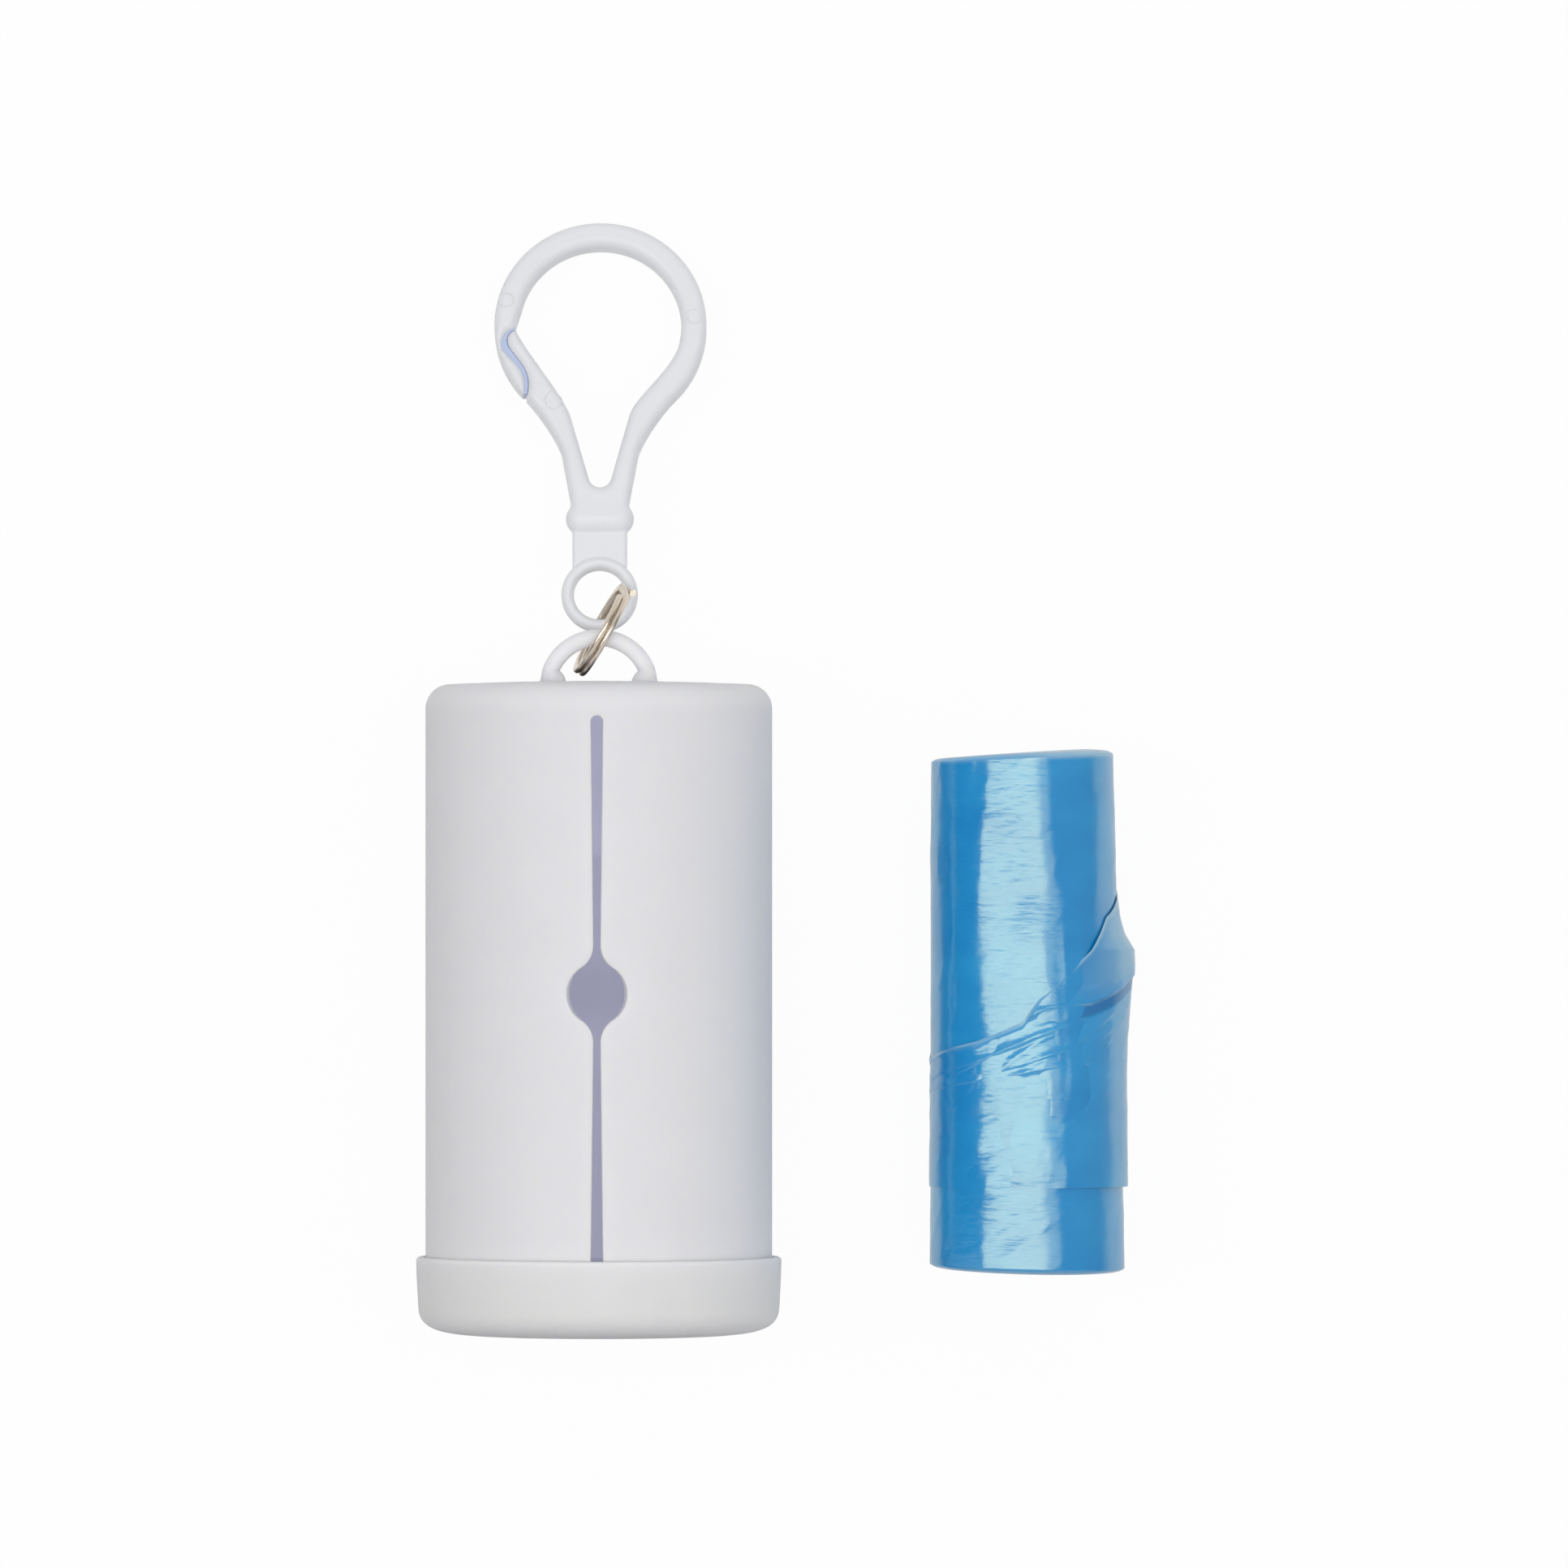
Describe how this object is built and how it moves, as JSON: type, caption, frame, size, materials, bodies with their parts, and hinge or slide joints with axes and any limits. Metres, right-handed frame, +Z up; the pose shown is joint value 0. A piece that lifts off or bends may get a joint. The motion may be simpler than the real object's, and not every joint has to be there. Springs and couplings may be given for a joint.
{
  "type": "dog poop bag dispenser",
  "caption": "Cylindrical silicone dispenser with a slotted side, push-on end cap, hang loop, split ring and snap hook, laid beside a spare roll of blue bags.",
  "frame": {"origin": "centre of the flat on the cap's bottom face", "axes": "+Y along the dispenser from the cap to the hook, +Z up from the surface that it lies on, +X towards the spare roll"},
  "size_m": [0.084, 0.1324, 0.0432],
  "materials": {
    "silicone": "matt white silicone",
    "nickel": "bright nickel plate on spring steel",
    "acetal": "satin white moulded plastic",
    "card": "plain grey-brown paper tube",
    "film": "glossy blue polyethylene film, wound",
    "paper": "plain white paper sticker"
  },
  "bodies": {
    "dispenser": {"sleeve": "silicone"},
    "cap": {"base_cap": "silicone"},
    "ring": {"split_ring": "nickel"},
    "hook": {"hook_frame": "acetal"},
    "gate": {"hook_gate": "acetal"},
    "roll": {"roll_core": "card", "bag_windings": "film", "loose_bag": "film", "end_tab": "paper"}
  },
  "joints": [
    {"name": "cap_pull", "type": "slide", "parent": "dispenser", "child": "cap", "axis": [0, -1, 0], "range_m": [0, 0.03]},
    {"name": "ring_swing", "type": "hinge", "parent": "dispenser", "child": "ring", "pos_m": [0, 0.0825, 0], "axis": [1, 0, 0], "range_deg": [0, 90]},
    {"name": "hook_swing", "type": "hinge", "parent": "ring", "child": "hook", "pos_m": [0, 0.08395, -0.00753], "axis": [1, 0, 0], "range_deg": [-70, 10]},
    {"name": "gate_flex", "type": "hinge", "parent": "hook", "child": "gate", "pos_m": [-0.00285, 0.10235, -0.01228], "axis": [0, -0.2503, -0.9682], "range_deg": [0, 18], "stiffness_Nm_per_rad": 0.15},
    {"name": "roll_turn", "type": "hinge", "parent": "dispenser", "child": "roll", "pos_m": [0.0508, 0.0382, -0.00995], "axis": [0, 1, 0], "continuous": true}
  ]
}
